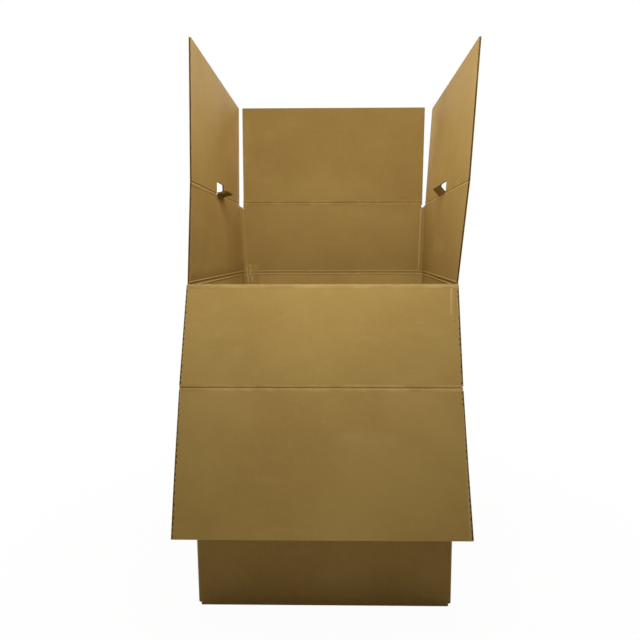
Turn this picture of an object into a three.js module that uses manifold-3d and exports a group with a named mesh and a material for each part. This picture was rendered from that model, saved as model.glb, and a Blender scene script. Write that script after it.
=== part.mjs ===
// Wardrobe moving box: a tall carton of single-wall corrugated board that stands open.
// The upper part of its front is cut free at both corners and hangs down outside on a score line.
// +Z is up, +X to the right and +Y to the back, in millimetres, from the middle of the base on the floor.
import * as THREE from 'three';
import { mergeVertices } from 'three/addons/utils/BufferGeometryUtils.js';
import Module from 'manifold-3d';

const wasm = await Module();
wasm.setup();

// The carton, measured over its outer faces
const width = 614;
const depth = 614;
const wallHeight = 1018;
const foldHeight = 785;
const board = 4.2;
const cornerRadius = 5;
const bendRadius = 4.8;

// The flaps, and the slots between them at the corners
const flapSeam = 2;
const cornerSlot = 9.5;
const layerGap = 0.3;
const scoreGap = 0.25;
const panelEdge = 1.5;
const scoreDepth = 0.8;
const scoreWidth = 5;

// The die-cut slots for a hanger bar in the two side flaps, each with its pushed-in tab
const barSlotWidth = 90;
const barSlotHeight = 33;
const barSlotRadius = 6;
const tabPlay = 0.6;
const tabDrop = 1;
const tabReach = 27.3;

// The glued joint of the sheet, lapped round the back left corner
const jointLap = 38;
const jointThickness = 2.6;
const jointSlope = Math.tan(THREE.MathUtils.degToRad(12));
const jointFoot = 16;
const jointHead = 18;

// The tape under the bottom seam
const tapeWidth = 48;
const tapeThickness = 0.25;
const tapeGap = 0.1;
const tapeRise = 65;
const tapeBend = 7;

// How the used box stands: the side walls are pulled out of square at the top, the flaps lean
const rightWallBack = 6.5;
const rightWallFront = 21.5;
const leftWallBack = -10;
const leftWallFront = 14;
const panelHang = THREE.MathUtils.degToRad(-160);
const frontFlapTurn = 0;
const rightFlapLean = THREE.MathUtils.degToRad(-3.4);
const leftFlapLean = THREE.MathUtils.degToRad(1.6);
const rightTabTurn = THREE.MathUtils.degToRad(44);
const leftTabTurn = THREE.MathUtils.degToRad(78);
const frontFlapSkew = 6.6;
const backFlapSkew = 4;

// Sizes that follow from those above
const halfWidth = width / 2;
const halfDepth = depth / 2;
const flapLength = (depth - flapSeam) / 2;
const sideFlapLength = (width - flapSeam) / 2;
const slotEdge = board / 2 + cornerSlot / 2;
const sideCrease = wallHeight - board - layerGap;
const sideFront = -halfDepth + board + layerGap;
const sideBack = halfDepth - slotEdge;
const outerFlapBase = tapeThickness + tapeGap;
const innerFlapBase = outerFlapBase + board + layerGap;
const wallFoot = innerFlapBase + bendRadius + layerGap;

// How finely curves are drawn; a bent wall is level rings, one above the other
const wallSteps = 8;
const riseSteps = 6;
const cornerSteps = 4;
const slotSteps = 3;
const bendSteps = 6;
const ringSteps = 5;
const mergeDistance = 1e-4;

const kraft = new THREE.MeshStandardMaterial({ color: 0xa8844f, roughness: 0.9, metalness: 0 });
const tape = new THREE.MeshStandardMaterial({ color: 0xb18a4e, roughness: 0.35, metalness: 0 });

// Shapes

// A closed body through rings of as many points each, listed against the clock and going up
function loft(rings) {
  const count = rings[0].length;
  const positions = rings.flat().flatMap((p) => [p.x, p.y, p.z]);
  const faces = [];
  for (let level = 0; level + 1 < rings.length; level++) {
    for (let i = 0; i < count; i++) {
      const a = level * count + i;
      const b = level * count + (i + 1) % count;
      faces.push(a, b, b + count, a, b + count, a + count);
    }
  }
  const last = (rings.length - 1) * count;
  for (const [a, b, c] of THREE.ShapeUtils.triangulateShape(rings[0], [])) faces.push(c, b, a);
  for (const [a, b, c] of THREE.ShapeUtils.triangulateShape(rings.at(-1), [])) {
    faces.push(last + a, last + b, last + c);
  }
  const geometry = new THREE.BufferGeometry();
  geometry.setAttribute('position', new THREE.Float32BufferAttribute(positions, 3));
  geometry.setIndex(faces);
  return geometry;
}

function solidOf(geometry) {
  geometry.deleteAttribute('normal');
  geometry.deleteAttribute('uv');
  const merged = mergeVertices(geometry, mergeDistance);
  return new wasm.Manifold(new wasm.Mesh({
    numProp: 3,
    vertProperties: new Float32Array(merged.attributes.position.array),
    triVerts: new Uint32Array(merged.index.array),
  }));
}

function geometryOf(solid) {
  const mesh = solid.getMesh();
  const geometry = new THREE.BufferGeometry();
  geometry.setAttribute('position', new THREE.BufferAttribute(mesh.vertProperties, 3));
  geometry.setIndex(new THREE.BufferAttribute(mesh.triVerts, 1));
  return geometry;
}

function block(low, high) {
  const size = high.clone().sub(low);
  const geometry = new THREE.BoxGeometry(size.x, size.y, size.z);
  geometry.translate(...low.clone().add(high).multiplyScalar(0.5).toArray());
  return solidOf(geometry);
}

// A section drawn from a wall's outer face inwards and up, run along that wall to both sides of its middle
function alongWall(wall, section, halfLength) {
  const geometry = new THREE.ExtrudeGeometry(section, {
    depth: 2 * halfLength,
    bevelEnabled: false,
    curveSegments: bendSteps,
  });
  geometry.translate(0, 0, -halfLength);
  const up = new THREE.Vector3(0, 0, 1);
  const along = new THREE.Vector3().crossVectors(wall.inward, up);
  geometry.applyMatrix4(new THREE.Matrix4().makeBasis(wall.inward, up, along).setPosition(wall.outerFace));
  return solidOf(geometry);
}

const walls = {
  front: { outerFace: new THREE.Vector3(0, -halfDepth, 0), inward: new THREE.Vector3(0, 1, 0) },
  back: { outerFace: new THREE.Vector3(0, halfDepth, 0), inward: new THREE.Vector3(0, -1, 0) },
  left: { outerFace: new THREE.Vector3(-halfWidth, 0, 0), inward: new THREE.Vector3(1, 0, 0) },
  right: { outerFace: new THREE.Vector3(halfWidth, 0, 0), inward: new THREE.Vector3(-1, 0, 0) },
};

// Creases

// Local X runs along the crease, Y out of it and Z towards the inside of the box, on the outer face
function creaseFrame(start, end) {
  const along = end.clone().sub(start).normalize();
  const out = new THREE.Vector3(0, 0, 1);
  const inward = new THREE.Vector3().crossVectors(along, out);
  return new THREE.Matrix4().makeBasis(along, out, inward).setPosition(start);
}

const rightCrease = [
  new THREE.Vector3(halfWidth + rightWallBack, sideBack, sideCrease),
  new THREE.Vector3(halfWidth + rightWallFront, sideFront, sideCrease),
];
const leftCrease = [
  new THREE.Vector3(-halfWidth + leftWallFront, sideFront, sideCrease),
  new THREE.Vector3(-halfWidth + leftWallBack, sideBack, sideCrease),
];
const backCrease = [
  new THREE.Vector3(-halfWidth + slotEdge, halfDepth, wallHeight),
  new THREE.Vector3(halfWidth - slotEdge, halfDepth, wallHeight),
];
const panelFold = [
  new THREE.Vector3(halfWidth, -halfDepth, foldHeight),
  new THREE.Vector3(-halfWidth, -halfDepth, foldHeight),
];

function lengthOf(crease) {
  return crease[0].distanceTo(crease[1]);
}

// How far along a side crease the middle of the box lies
function middleOf(crease) {
  const [start, end] = crease;
  return lengthOf(crease) * start.y / (start.y - end.y);
}

// A hinged piece drawn flat in its crease's frame and turned about the crease to where it stands
function placed(geometry, name, frame, turn) {
  const mesh = new THREE.Mesh(geometry, kraft);
  mesh.name = name;
  mesh.rotation.x = turn;
  const holder = new THREE.Group();
  holder.applyMatrix4(frame);
  holder.add(mesh);
  return holder;
}

function ring(points, height) {
  return points.map(([x, y]) => new THREE.Vector3(x, y, height));
}

// Points on a quarter of a circle, from one angle to another
function quarter(x, y, radius, from, to, steps) {
  const points = [];
  for (let i = 0; i <= steps; i++) {
    const turn = from + i / steps * (to - from);
    points.push([x + radius * Math.cos(turn), y + radius * Math.sin(turn)]);
  }
  return points;
}

// The sheet's body

// Above the fold the side walls swing out of square, more towards the front and towards the top
function pullOutOfSquare(point) {
  const rise = Math.max(0, (point.z - foldHeight) / (sideCrease - foldHeight));
  const forward = (sideBack - point.y) / (sideBack - sideFront);
  const right = rightWallBack + (rightWallFront - rightWallBack) * forward;
  const left = leftWallBack + (leftWallFront - leftWallBack) * forward;
  const across = point.x / width + 0.5;
  point.x += rise * (left + (right - left) * across);
  return point;
}

function squareRing() {
  const outline = roundedRectangle(halfWidth, halfDepth, cornerRadius);
  outline.holes.push(roundedRectangle(halfWidth - board, halfDepth - board, cornerRadius - board));
  const geometry = new THREE.ExtrudeGeometry(outline, {
    depth: foldHeight - wallFoot,
    bevelEnabled: false,
    curveSegments: ringSteps,
  });
  geometry.translate(0, 0, wallFoot);
  return solidOf(geometry);
}

function roundedRectangle(x, y, radius) {
  const outline = new THREE.Shape();
  outline.absarc(x - radius, y - radius, radius, 0, Math.PI / 2);
  outline.absarc(-x + radius, y - radius, radius, Math.PI / 2, Math.PI);
  outline.absarc(-x + radius, -y + radius, radius, Math.PI, 1.5 * Math.PI);
  outline.absarc(x - radius, -y + radius, radius, 1.5 * Math.PI, 2 * Math.PI);
  outline.closePath();
  return outline;
}

// One face of the standing U above the fold: up the right side, across the back and down the left
function uFace(inset, radius) {
  const x = halfWidth - inset;
  const y = halfDepth - inset;
  const path = [];
  for (let i = 0; i < wallSteps; i++) path.push([x, sideFront + (y - radius - sideFront) * i / wallSteps]);
  path.push(...quarter(x - radius, y - radius, radius, 0, Math.PI / 2, cornerSteps));
  const side = path.map(([px, py]) => [-px, py]).reverse();
  for (let i = 1; i < wallSteps; i++) path.push([(x - radius) * (1 - 2 * i / wallSteps), y]);
  return path.concat(side);
}

function upperWalls() {
  const outline = uFace(0, cornerRadius).concat(uFace(board, cornerRadius - board).reverse());
  const rings = [];
  for (let i = 0; i <= riseSteps; i++) {
    const z = foldHeight + (sideCrease - foldHeight) * i / riseSteps;
    rings.push(ring(outline, z).map(pullOutOfSquare));
  }
  return solidOf(loft(rings));
}

// The back wall stands one board higher than the side walls, so its flap closes over theirs
function backWallTop() {
  const half = halfWidth - slotEdge;
  const inner = halfDepth - board;
  const outline = [[-half, inner], [half, inner], [half, halfDepth], [-half, halfDepth]];
  return solidOf(loft([ring(outline, sideCrease), ring(outline, wallHeight)]));
}

function bottomFlap(wall, base, reach, halfLength) {
  const section = new THREE.Shape();
  section.moveTo(0, wallFoot);
  section.lineTo(0, base + bendRadius);
  section.absarc(bendRadius, base + bendRadius, bendRadius, Math.PI, 1.5 * Math.PI);
  section.lineTo(reach, base);
  section.lineTo(reach, base + board);
  section.absarc(bendRadius, base + bendRadius, bendRadius - board, 1.5 * Math.PI, Math.PI, true);
  section.lineTo(board, wallFoot);
  section.closePath();
  return alongWall(wall, section, halfLength);
}

// The end of the sheet, crushed thin and glued round the outside of the back left corner
function gluedJoint() {
  const bury = 0.2;
  const y = halfDepth + jointThickness;
  const radius = cornerRadius + jointThickness;
  const outline = quarter(-halfWidth + radius, y - radius, radius, Math.PI, Math.PI / 2, cornerSteps);
  outline.push([-halfWidth + jointLap, y], [-halfWidth + jointLap, halfDepth - bury]);
  outline.push([-halfWidth + cornerRadius, halfDepth - bury], [-halfWidth + bury, y - radius]);
  outline.reverse();
  const foot = (x) => wallFoot + jointFoot + (x + halfWidth) * jointSlope;
  const head = (x) => sideCrease - jointHead - (x + halfWidth) * jointSlope;
  const levels = [
    outline.map(([px, py]) => new THREE.Vector3(px, py, foot(px))),
    ring(outline, foldHeight),
  ];
  for (let i = 1; i <= riseSteps; i++) {
    levels.push(outline.map(([px, py]) => {
      const z = foldHeight + (head(px) - foldHeight) * i / riseSteps;
      return pullOutOfSquare(new THREE.Vector3(px, py, z));
    }));
  }
  return solidOf(loft(levels));
}

// What is cut from a wall above its crease: square at the outer face, sloping down at 45 degrees inside
function creaseCut(frame, from, to) {
  const over = 4 * board;
  const section = new THREE.Shape();
  section.moveTo(-over, -scoreGap);
  section.lineTo(0, -scoreGap);
  section.lineTo(over, -scoreGap - over);
  section.lineTo(over, over);
  section.lineTo(-over, over);
  section.closePath();
  const geometry = new THREE.ExtrudeGeometry(section, { depth: to - from, bevelEnabled: false });
  const x = new THREE.Vector3(1, 0, 0);
  const y = new THREE.Vector3(0, 1, 0);
  const z = new THREE.Vector3(0, 0, 1);
  geometry.applyMatrix4(new THREE.Matrix4().makeBasis(z, y, x.clone().negate()).setPosition(to, 0, 0));
  geometry.applyMatrix4(frame);
  return solidOf(geometry);
}

// A tab turns about the inner face, so under it the wall keeps its full thickness
function sideCreaseCuts(crease) {
  const frame = creaseFrame(...crease);
  const middle = middleOf(crease);
  const half = barSlotWidth / 2 - layerGap;
  const end = lengthOf(crease) + cornerSlot;
  const underTab = new THREE.BoxGeometry(2 * half + 2 * layerGap, 4 * board, 8 * board);
  underTab.translate(middle, 2 * board - tabDrop, 0);
  underTab.applyMatrix4(frame);
  return [
    creaseCut(frame, -cornerSlot, middle - half),
    creaseCut(frame, middle + half, end),
    solidOf(underTab),
  ];
}

function innerScore(wall, halfLength) {
  const section = new THREE.Shape();
  section.moveTo(board - scoreDepth, foldHeight);
  section.lineTo(board + scoreDepth, foldHeight - scoreWidth);
  section.lineTo(board + scoreDepth, foldHeight + scoreWidth);
  section.closePath();
  return alongWall(wall, section, halfLength);
}

function cartonBody() {
  let body = squareRing().add(upperWalls()).add(backWallTop());
  const halfSeam = flapSeam / 2;
  body = body.add(bottomFlap(walls.front, outerFlapBase, halfDepth - halfSeam, halfWidth - slotEdge));
  body = body.add(bottomFlap(walls.back, outerFlapBase, halfDepth - halfSeam, halfWidth - slotEdge));
  body = body.add(bottomFlap(walls.left, innerFlapBase, halfWidth - halfSeam, halfDepth - slotEdge));
  body = body.add(bottomFlap(walls.right, innerFlapBase, halfWidth - halfSeam, halfDepth - slotEdge));
  body = body.add(gluedJoint());

  const frontTop = new THREE.Shape();
  frontTop.moveTo(-board, foldHeight - scoreGap);
  frontTop.lineTo(board + layerGap - panelEdge, foldHeight - scoreGap);
  frontTop.lineTo(board + layerGap, foldHeight - scoreGap - panelEdge);
  frontTop.lineTo(board + layerGap, foldHeight + board);
  frontTop.lineTo(-board, foldHeight + board);
  frontTop.closePath();
  body = body.subtract(alongWall(walls.front, frontTop, width));

  for (const side of [-1, 1]) {
    const inner = side * (halfWidth - slotEdge);
    const outer = side * width;
    const low = new THREE.Vector3(Math.min(inner, outer), sideBack, sideCrease - scoreGap - board);
    body = body.subtract(block(low, new THREE.Vector3(Math.max(inner, outer), depth, 2 * wallHeight)));
  }
  const backEnd = cornerSlot;
  body = body.subtract(creaseCut(creaseFrame(...backCrease), -backEnd, lengthOf(backCrease) + backEnd));
  for (const cut of [...sideCreaseCuts(rightCrease), ...sideCreaseCuts(leftCrease)]) {
    body = body.subtract(cut);
  }

  body = body.subtract(innerScore(walls.back, halfWidth - board));
  body = body.subtract(innerScore(walls.left, halfDepth - 2 * board));
  body = body.subtract(innerScore(walls.right, halfDepth - 2 * board));
  return geometryOf(body);
}

// The flaps and the drop panel

// A flap's outline, from its crease out: skew moves its free edge along, trim cuts that edge short
function flapRings(creaseLength, reach, skew, trim, notch) {
  return [0, board].map((inward) => {
    const foot = scoreGap + inward;
    const shift = skew * foot / reach;
    const cut = trim * foot / reach;
    const outline = [[shift, foot]];
    if (notch) {
      const left = notch.middle - notch.half;
      const right = notch.middle + notch.half;
      const { radius } = notch;
      const top = notch.height - radius;
      outline.push([left, foot]);
      outline.push(...quarter(left + radius, top, radius, Math.PI, Math.PI / 2, slotSteps));
      outline.push(...quarter(right - radius, top, radius, Math.PI / 2, 0, slotSteps));
      outline.push([right, foot]);
    }
    outline.push([creaseLength + shift - cut, foot], [creaseLength + skew - trim, reach], [skew, reach]);
    return ring(outline, inward);
  });
}

// A closed side flap must lie between the front and the back, though its crease isn't square to them
function sideFlap(name, crease, lean) {
  const frame = creaseFrame(...crease);
  const skewed = Math.abs(crease[1].x - crease[0].x) / Math.abs(crease[1].y - crease[0].y);
  const notch = {
    middle: middleOf(crease),
    half: barSlotWidth / 2,
    height: barSlotHeight,
    radius: barSlotRadius,
  };
  const rings = flapRings(lengthOf(crease), sideFlapLength, 0, sideFlapLength * skewed, notch);
  return placed(loft(rings), name, frame, lean);
}

function barTab(name, crease, turn) {
  const half = barSlotWidth / 2 - tabPlay;
  const radius = barSlotRadius;
  const outline = [
    [-half, scoreGap],
    [half, scoreGap],
    ...quarter(half - radius, tabReach - radius, radius, 0, Math.PI / 2, slotSteps),
    ...quarter(-half + radius, tabReach - radius, radius, Math.PI / 2, Math.PI, slotSteps),
  ];
  const geometry = loft([ring(outline, -board), ring(outline, 0)]);
  const tabFold = new THREE.Matrix4().makeTranslation(middleOf(crease), -tabDrop, board + layerGap);
  return placed(geometry, name, creaseFrame(...crease).multiply(tabFold), turn);
}

function backFlap() {
  const rings = flapRings(lengthOf(backCrease), flapLength, backFlapSkew, 0, null);
  return placed(loft(rings), 'back_flap', creaseFrame(...backCrease), 0);
}

// The drop panel hangs from the fold, and the front flap hangs from the panel's own crease
function dropFront() {
  const reach = wallHeight - foldHeight;
  const rings = [0, board - panelEdge, board].map((inward) => {
    const foot = scoreGap + Math.max(0, inward - board + panelEdge);
    const head = reach - scoreGap - inward;
    return ring([[0, foot], [width, foot], [width, head], [0, head]], inward);
  });
  const holder = placed(loft(rings), 'front_drop_panel', creaseFrame(...panelFold), panelHang);
  const flap = new THREE.Mesh(loft(flapRings(width, flapLength, -frontFlapSkew, 0, null)), kraft);
  flap.name = 'front_flap';
  flap.position.y = reach;
  flap.rotation.x = frontFlapTurn;
  holder.children[0].add(flap);
  return holder;
}

// The tape lies under the seam and turns up on the outside of both side walls
function bottomTape() {
  const reach = halfWidth + tapeGap;
  const section = new THREE.Shape();
  const edge = (offset, reverse) => {
    const x = reach + offset;
    const z = tapeThickness - offset;
    const radius = tapeBend + offset;
    const corners = [
      () => section.absarc(-x + radius, z + radius, radius, Math.PI, 1.5 * Math.PI, false),
      () => section.absarc(x - radius, z + radius, radius, 1.5 * Math.PI, 2 * Math.PI, false),
      () => section.absarc(x - radius, z + radius, radius, 2 * Math.PI, 1.5 * Math.PI, true),
      () => section.absarc(-x + radius, z + radius, radius, 1.5 * Math.PI, Math.PI, true),
    ];
    if (reverse) {
      section.lineTo(x, tapeRise);
      corners[2]();
      corners[3]();
      section.lineTo(-x, tapeRise);
    } else {
      section.moveTo(-x, tapeRise);
      corners[0]();
      corners[1]();
      section.lineTo(x, tapeRise);
    }
  };
  edge(tapeThickness, false);
  edge(0, true);
  section.closePath();
  const geometry = new THREE.ExtrudeGeometry(section, {
    depth: tapeWidth,
    bevelEnabled: false,
    curveSegments: bendSteps,
  });
  geometry.rotateX(Math.PI / 2);
  geometry.translate(0, tapeWidth / 2, 0);
  const mesh = new THREE.Mesh(geometryOf(solidOf(geometry)), tape);
  mesh.name = 'bottom_tape';
  return mesh;
}

const box = new THREE.Group();
const body = new THREE.Mesh(cartonBody(), kraft);
body.name = 'carton_body';
box.add(body, bottomTape(), dropFront(), backFlap());
box.add(sideFlap('right_flap', rightCrease, rightFlapLean));
box.add(sideFlap('left_flap', leftCrease, leftFlapLean));
box.add(barTab('right_bar_tab', rightCrease, rightTabTurn));
box.add(barTab('left_bar_tab', leftCrease, leftTabTurn));

export default box;
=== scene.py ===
# A tall wardrobe moving box of corrugated kraft board, standing open with its front folded down.
# Metres, +Z up, +X to the right and +Y to the back, from the middle of the base on the floor.
import math
import random

import bmesh
import bpy
from mathutils import Matrix, Vector


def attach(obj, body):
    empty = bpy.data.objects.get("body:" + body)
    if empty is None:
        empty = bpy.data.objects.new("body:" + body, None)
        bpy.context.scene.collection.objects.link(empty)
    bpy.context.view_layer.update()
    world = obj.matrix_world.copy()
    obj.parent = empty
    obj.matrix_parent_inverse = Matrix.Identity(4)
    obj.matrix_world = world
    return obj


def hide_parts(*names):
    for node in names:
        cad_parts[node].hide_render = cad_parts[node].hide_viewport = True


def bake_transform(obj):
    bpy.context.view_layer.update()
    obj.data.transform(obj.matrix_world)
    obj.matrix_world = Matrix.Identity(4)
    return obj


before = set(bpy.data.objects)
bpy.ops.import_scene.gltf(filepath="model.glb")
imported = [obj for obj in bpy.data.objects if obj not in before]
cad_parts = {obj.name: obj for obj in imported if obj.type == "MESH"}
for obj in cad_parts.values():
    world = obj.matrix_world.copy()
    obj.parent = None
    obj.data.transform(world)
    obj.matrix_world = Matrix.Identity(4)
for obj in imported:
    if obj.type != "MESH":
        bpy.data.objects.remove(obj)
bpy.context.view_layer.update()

MM = 0.001

# The carton over its outer faces, and the board
HALF_WIDTH = 0.307
WALL_TOP = 1.018
SIDE_TOP = 1.0135
SIDE_FRONT = -0.3025
SIDE_BACK = 0.30015
FOLD_HEIGHT = 0.785
BOARD = 4.2 * MM
WALL_INNER = HALF_WIDTH - BOARD
LINER = 0.42 * MM
MEDIUM = 0.26 * MM
FLUTE_PITCH = 7.9 * MM
SCORE_GAP = 0.25 * MM
SCORE_SLOPE = BOARD + SCORE_GAP

# How far the top of each side wall is pulled to the right, at its back and at its front
RIGHT_PULL_BACK = 6.5 * MM
RIGHT_PULL_FRONT = 21.5 * MM
LEFT_PULL_BACK = -10 * MM
LEFT_PULL_FRONT = 14 * MM

# The creases, each from its start to its end along the outer face
BACK_CREASE = (
    Vector((-SIDE_BACK, HALF_WIDTH, WALL_TOP)),
    Vector((SIDE_BACK, HALF_WIDTH, WALL_TOP)),
)
RIGHT_CREASE = (
    Vector((HALF_WIDTH + RIGHT_PULL_BACK, SIDE_BACK, SIDE_TOP)),
    Vector((HALF_WIDTH + RIGHT_PULL_FRONT, SIDE_FRONT, SIDE_TOP)),
)
LEFT_CREASE = (
    Vector((LEFT_PULL_FRONT - HALF_WIDTH, SIDE_FRONT, SIDE_TOP)),
    Vector((LEFT_PULL_BACK - HALF_WIDTH, SIDE_BACK, SIDE_TOP)),
)
PANEL_FOLD = (
    Vector((HALF_WIDTH, -HALF_WIDTH, FOLD_HEIGHT)),
    Vector((-HALF_WIDTH, -HALF_WIDTH, FOLD_HEIGHT)),
)
RIGHT_LEAN = math.radians(-3.4)
LEFT_LEAN = math.radians(1.6)
PANEL_HANG = math.radians(-160)
RIGHT_TAB_TURN = math.radians(44)
LEFT_TAB_TURN = math.radians(78)

# The flaps and the drop panel
FLAP_REACH = 0.306
PANEL_REACH = 0.233
BACK_SKEW = 4 * MM
FRONT_SKEW = -6.6 * MM
SLOT_HALF = 0.045
SLOT_HEIGHT = 0.033
SLOT_RADIUS = 6 * MM
TAB_HALF = 0.0444
TAB_REACH = 0.0273
TAB_DROP = 1 * MM
TAB_OFFSET = 4.5 * MM

# The torn side edges of the drop panel and the front flap, in millimetres deep, and how far the
# inner liner is crushed back from them
DEEP_NICK = (1.2, 3.2)
SHALLOW_NICK = (0.0, 0.5)
PANEL_NICKS = 37
FRONT_NICKS = 49
PANEL_CRUSH = 2.4 * MM
FRONT_CRUSH = 2.2 * MM
BACK_CRUSH = 1.0 * MM

# The fluted medium stays inside the liners by these, and smoothing lowers its crests to this share
FLUTE_INSET = 0.3 * MM
FLUTE_FOOT_INSET = 0.4 * MM
SMOOTHED_CREST = 0.75

# Steps round a small corner, and up to how many degrees an edge is shaded smooth
ROUND_STEPS = 4
SMOOTH_ROUND = 60
SMOOTH_FLUTES = 50
SMOOTH_CARTON = 20

# Where the random draws start
NICK_SEED = 7
STRIP_SEED = 5
RIDGE_SEED = 3
CRUMPLE_SEED = 11


# Picking and moving in edit mode


def clear_selection():
    bpy.ops.object.select_all(action="DESELECT")


def active():
    return bpy.context.view_layer.objects.active


def make_active(piece):
    clear_selection()
    piece.select_set(True)
    bpy.context.view_layer.objects.active = piece


def apply_place(piece):
    make_active(piece)
    bpy.ops.object.transform_apply(location=True, rotation=True, scale=True)


def open_edit(piece, mode="VERT"):
    make_active(piece)
    bpy.ops.object.mode_set(mode="EDIT")
    bpy.ops.mesh.select_mode(type=mode)


def close_edit():
    bpy.ops.object.mode_set(mode="OBJECT")


def pick_vertices(piece, wanted):
    mesh = bmesh.from_edit_mesh(piece.data)
    for vertex in mesh.verts:
        vertex.select_set(wanted(vertex.co))
    mesh.select_flush(True)
    bmesh.update_edit_mesh(piece.data)


def unpicked_mesh(piece):
    mesh = bmesh.from_edit_mesh(piece.data)
    for part in list(mesh.faces) + list(mesh.edges) + list(mesh.verts):
        part.select_set(False)
    return mesh


def pick_edges(piece, wanted):
    mesh = unpicked_mesh(piece)
    for edge in mesh.edges:
        if wanted((edge.verts[0].co + edge.verts[1].co) / 2, edge):
            edge.select_set(True)
    bmesh.update_edit_mesh(piece.data)


def pick_faces(piece, wanted):
    mesh = unpicked_mesh(piece)
    for face in mesh.faces:
        if wanted(face.calc_center_median(), face.normal):
            face.select_set(True)
    bmesh.update_edit_mesh(piece.data)


def nudge(x=0.0, y=0.0, z=0.0):
    bpy.ops.transform.translate(value=(x, y, z))


def near(value, target, reach=0.1 * MM):
    return abs(value - target) < reach


def apply_modifier(piece, kind, **settings):
    make_active(piece)
    modifier = piece.modifiers.new(kind.lower(), kind)
    for key, value in settings.items():
        setattr(modifier, key, value)
    bpy.ops.object.modifier_apply(modifier=modifier.name)


def cut(point, normal, clear_outer=False):
    bpy.ops.mesh.select_all(action="SELECT")
    bpy.ops.mesh.bisect(plane_co=point, plane_no=normal, clear_outer=clear_outer)


# Cuts away the half towards the normal, and closes the cut
def keep_half(normal):
    cut((0, 0, 0), normal, clear_outer=True)
    bpy.ops.mesh.select_all(action="SELECT")
    bpy.ops.mesh.fill_holes(sides=0)


def smooth(piece, degrees):
    make_active(piece)
    bpy.ops.object.shade_smooth_by_angle(angle=math.radians(degrees))


def give_paper(piece, paper, wanted):
    piece.data.materials.append(paper)
    for face in piece.data.polygons:
        if wanted(face):
            face.material_index = len(piece.data.materials) - 1


def join(name, pieces):
    clear_selection()
    for piece in pieces:
        piece.select_set(True)
    bpy.context.view_layer.objects.active = pieces[0]
    bpy.ops.object.join()
    pieces[0].name = name
    pieces[0].data.name = name
    return pieces[0]


# Where a hinged piece stands: X along its crease, Y out of it, Z towards the inside of the box


def crease_frame(crease):
    along = (crease[1] - crease[0]).normalized()
    out = Vector((0, 0, 1))
    inward = along.cross(out)
    turned = Matrix((along, out, inward)).transposed().to_4x4()
    return Matrix.Translation(crease[0]) @ turned


def hinged_frame(crease, turn):
    return crease_frame(crease) @ Matrix.Rotation(turn, 4, "X")


def crease_length(crease):
    return (crease[1] - crease[0]).length


def crease_middle(crease):
    start, end = crease
    return crease_length(crease) * start.y / (start.y - end.y)


def tab_fold_frame(crease):
    fold = Matrix.Translation((crease_middle(crease), -TAB_DROP, TAB_OFFSET))
    return crease_frame(crease) @ fold


# A flat piece of board: two liners with the fluted medium between them


def liner_sheet(outline, level, notch, nicks):
    x0, x1, foot, reach, skew, trim = outline
    centre = (x0 + x1) / 2
    bpy.ops.mesh.primitive_plane_add(size=1, location=(centre, (foot + reach) / 2, level))
    sheet = active()
    sheet.scale = (x1 - x0, reach - foot, 1)
    apply_place(sheet)
    open_edit(sheet)
    pick_vertices(sheet, lambda co: co.y > reach - MM and co.x < centre)
    nudge(x=skew)
    pick_vertices(sheet, lambda co: co.y > reach - MM and co.x > centre)
    nudge(x=skew - trim)
    if notch:
        middle, half, height, radius = notch
        cut((middle - half, 0, 0), (1, 0, 0))
        cut((middle + half, 0, 0), (1, 0, 0))
        cut((0, height, 0), (0, 1, 0))
        bpy.ops.mesh.select_mode(type="FACE")
        pick_faces(sheet, lambda co, n: abs(co.x - middle) < half and co.y < height)
        bpy.ops.mesh.delete(type="FACE")
        bpy.ops.mesh.select_mode(type="VERT")
        pick_vertices(sheet, lambda co: near(abs(co.x - middle), half) and near(co.y, height))
        bpy.ops.mesh.bevel(offset=radius, segments=ROUND_STEPS, affect="VERTICES")
    if nicks:
        nick_edges(sheet, centre, foot, reach, nicks)
    close_edit()
    return sheet


# Both side edges are divided, and every second point of them is torn in deep
def nick_edges(sheet, centre, foot, reach, nicks):
    bpy.ops.mesh.select_mode(type="EDGE")
    half_reach = (reach - foot) / 2
    pick_edges(sheet, lambda co, e: abs(e.verts[0].co.y - e.verts[1].co.y) > half_reach)
    bpy.ops.mesh.subdivide(number_cuts=nicks)
    bpy.ops.mesh.select_mode(type="VERT")
    chance = random.Random(NICK_SEED)
    mesh = bmesh.from_edit_mesh(sheet.data)
    step = (reach - foot) / (nicks + 1)
    for vertex in sorted(mesh.verts, key=lambda v: (v.co.x > centre, v.co.y)):
        place = round((vertex.co.y - foot) / step)
        if 0 < place < nicks + 1:
            deep = chance.uniform(*(DEEP_NICK if place % 2 else SHALLOW_NICK))
            vertex.co.x += deep * MM if vertex.co.x < centre else -deep * MM
    bmesh.update_edit_mesh(sheet.data)


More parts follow.
